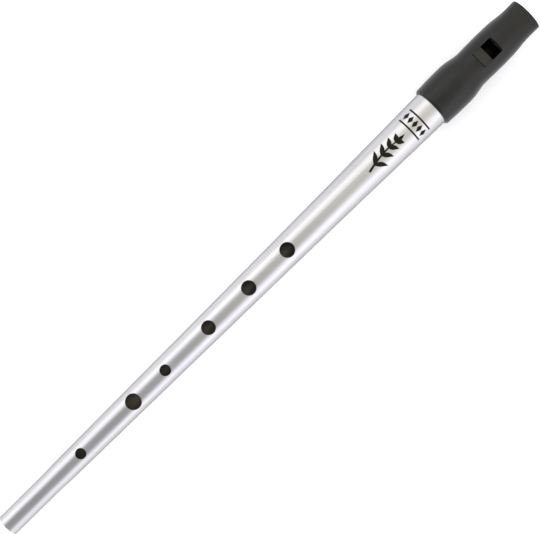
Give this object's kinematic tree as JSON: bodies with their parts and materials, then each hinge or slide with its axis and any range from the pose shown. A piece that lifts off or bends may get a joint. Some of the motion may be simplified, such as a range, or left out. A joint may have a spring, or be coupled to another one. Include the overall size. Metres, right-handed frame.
{
  "type": "tin whistle",
  "caption": "Conical metal tin whistle with finger holes along its tube and a black moulded mouthpiece that slides and turns on the tube for tuning.",
  "frame": {"origin": "on the tube's axis at the foot end's face, the centre of the foot bore's mouth", "axes": "+X along the tube's axis from the foot towards the mouthpiece's tip, +Z out through the finger holes and the window, so the whistle lies on its back with the holes up"},
  "size_m": [0.2979, 0.0188, 0.0188],
  "materials": {
    "tinplate": "satin silver, lacquered tinplate with a faint lengthwise grain",
    "solder": "dull wiped solder",
    "glue": "waxy translucent hot-melt glue",
    "shell_plastic": "satin black moulded plastic",
    "block_plastic": "satin black moulded plastic"
  },
  "bodies": {
    "tube": {"tube": "tinplate", "seam_solder": "solder"},
    "seal": {"joint_seal": "glue"},
    "mouthpiece": {"mouthpiece_shell": "shell_plastic", "fipple_block": "block_plastic"}
  },
  "joints": [
    {"name": "tuning_slide", "type": "slide", "parent": "tube", "child": "seal", "axis": [1, 0, 0], "range_m": [-0.0015, 0.006]},
    {"name": "mouthpiece_swivel", "type": "hinge", "parent": "seal", "child": "mouthpiece", "pos_m": [0.248, 0, 0], "axis": [1, 0, 0], "continuous": true}
  ]
}
